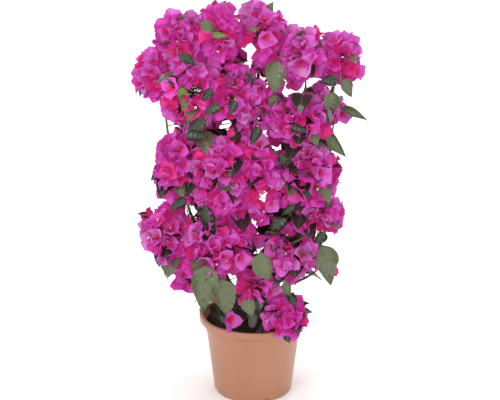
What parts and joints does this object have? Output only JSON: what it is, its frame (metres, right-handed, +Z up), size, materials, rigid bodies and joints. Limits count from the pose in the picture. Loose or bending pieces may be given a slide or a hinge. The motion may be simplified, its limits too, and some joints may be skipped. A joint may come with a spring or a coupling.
{
  "type": "potted bougainvillea bush",
  "caption": "Bushy flowering climber in a round plastic pot: short trunk, forked stems and dense sprays of pink bracts with green leaves.",
  "frame": {"origin": "centre of the pot's flat underside", "axes": "+Z up along the pot's axis; -Y towards the plant's front, where most blossom faces; +X to the right seen from the front"},
  "size_m": [0.3817, 0.2338, 0.7111],
  "materials": {
    "pot_plastic": "smooth terracotta-coloured plastic, slightly satin",
    "compost": "damp dark peat and bark",
    "bark": "finely ridged grey-brown bark",
    "blossom": "papery magenta-pink bracts",
    "leaves": "soft dark olive-green leaves"
  },
  "bodies": {
    "root": {"pot": "pot_plastic", "soil": "compost", "trunk": "bark", "stem_left": "bark", "stem_right": "bark", "stem_back_left": "bark", "stem_back_right": "bark", "stem_center": "bark", "bough_top_center_left": "bark", "bough_top_right": "bark", "bough_far_left": "bark", "bough_upper_left": "bark", "bough_upper_center": "bark", "bough_upper_right": "bark", "bough_right_leaves": "bark", "bough_middle_left": "bark", "bough_middle": "bark", "bough_middle_center": "bark", "bough_middle_right": "bark", "bough_low_left": "bark", "bough_low_front": "bark", "bough_low_right": "bark", "bough_low_center_right": "bark", "bough_low_right_leaves": "bark", "bough_foot_leaves": "bark", "bough_back_left": "bark", "bough_back_upper_right": "bark", "bough_back_right": "bark", "bough_back_low_left": "bark", "bough_back_low_right": "bark", "spray_top_left": "blossom", "spray_top_center_left": "blossom", "spray_top_center": "blossom", "spray_top_right": "blossom", "spray_right_tip": "blossom", "spray_far_left": "blossom", "spray_upper_left": "blossom", "spray_upper_center": "blossom", "spray_upper_right": "blossom", "spray_right_leaves": "leaves", "spray_middle_left": "blossom", "spray_middle": "blossom", "spray_middle_center": "blossom", "spray_middle_right": "blossom", "spray_low_left": "blossom", "spray_low_front": "blossom", "spray_low_right": "blossom", "spray_low_center_right": "blossom", "spray_low_right_leaves": "leaves", "spray_foot_center": "blossom", "spray_foot_right": "blossom", "spray_foot_leaves": "leaves", "spray_back_top_left": "blossom", "spray_back_top_right": "blossom", "spray_back_left": "blossom", "spray_back_upper_right": "blossom", "spray_back_right": "blossom", "spray_back_low_left": "blossom", "spray_back_low_right": "blossom"}
  },
  "joints": []
}
